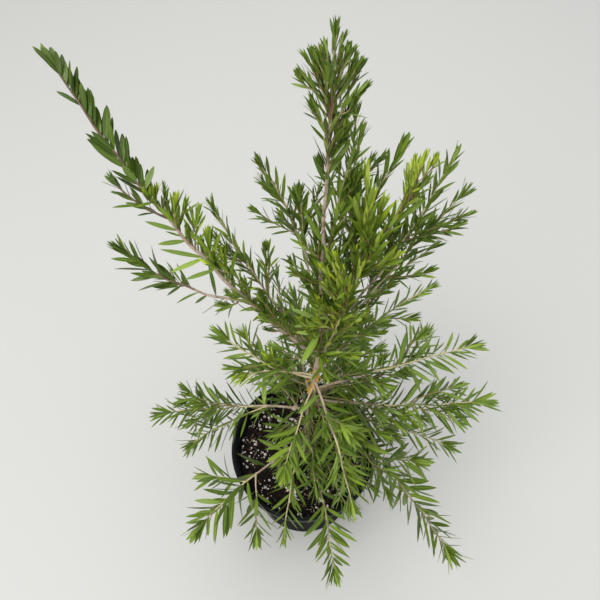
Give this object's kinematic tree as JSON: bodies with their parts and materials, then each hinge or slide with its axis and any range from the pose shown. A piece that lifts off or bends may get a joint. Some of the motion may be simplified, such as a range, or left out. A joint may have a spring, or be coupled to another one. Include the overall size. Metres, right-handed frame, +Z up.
{
  "type": "potted bottlebrush shrub",
  "caption": "Young bottlebrush shrub with narrow green leaves on upright and arching stems, growing in a round black nursery pot of bark potting mix.",
  "frame": {"origin": "centre of the pot's flat underside, on the level that the pot stands on", "axes": "+Z up along the pot's axis; +X to the viewer's right and +Y away from the viewer, seen from the side that the low front shoots lean to"},
  "size_m": [0.6598, 0.5124, 1.0263],
  "materials": {
    "pot_plastic": "satin",
    "potting_mix": "matte",
    "bark": "matte",
    "foliage": "satin"
  },
  "bodies": {
    "root": {"pot": "pot_plastic", "potting_mix": "potting_mix", "trunk": "bark", "bough_back_left": "bark", "bough_back_right": "bark", "bough_front_left_low": "bark", "bough_front_low": "bark", "bough_front_right": "bark", "bough_front_right_arch": "bark", "bough_leader": "bark", "bough_left_inner": "bark", "bough_left_low": "bark", "bough_left_outer": "bark", "bough_long_left": "bark", "bough_right_bright": "bark", "bough_right_high_spread": "bark", "bough_right_middle": "bark", "bough_right_outer": "bark", "bough_right_spread": "bark", "bough_right_upper": "bark", "bough_upper_left": "bark", "bough_upper_right": "bark", "foliage_back_high": "foliage", "foliage_back_left": "foliage", "foliage_back_low": "foliage", "foliage_back_right": "foliage", "foliage_centre_front": "foliage", "foliage_centre_upright": "foliage", "foliage_front_hanging": "foliage", "foliage_front_left_hanging": "foliage", "foliage_front_left_low": "foliage", "foliage_front_left_side": "foliage", "foliage_front_low": "foliage", "foliage_front_near": "foliage", "foliage_front_right": "foliage", "foliage_front_right_arch": "foliage", "foliage_leader_brush": "foliage", "foliage_leader_left": "foliage", "foliage_leader_right": "foliage", "foliage_left_high": "foliage", "foliage_left_inner": "foliage", "foliage_left_low": "foliage", "foliage_left_low_side": "foliage", "foliage_left_middle": "foliage", "foliage_left_near": "foliage", "foliage_left_outer": "foliage", "foliage_left_short": "foliage", "foliage_long_left": "foliage", "foliage_right_bright": "foliage", "foliage_right_high_spread": "foliage", "foliage_right_low_spread": "foliage", "foliage_right_middle": "foliage", "foliage_right_outer": "foliage", "foliage_right_shoulder": "foliage", "foliage_right_spread": "foliage", "foliage_right_upper": "foliage", "foliage_right_upright": "foliage", "foliage_upper_left": "foliage", "foliage_upper_right": "foliage"}
  },
  "joints": []
}
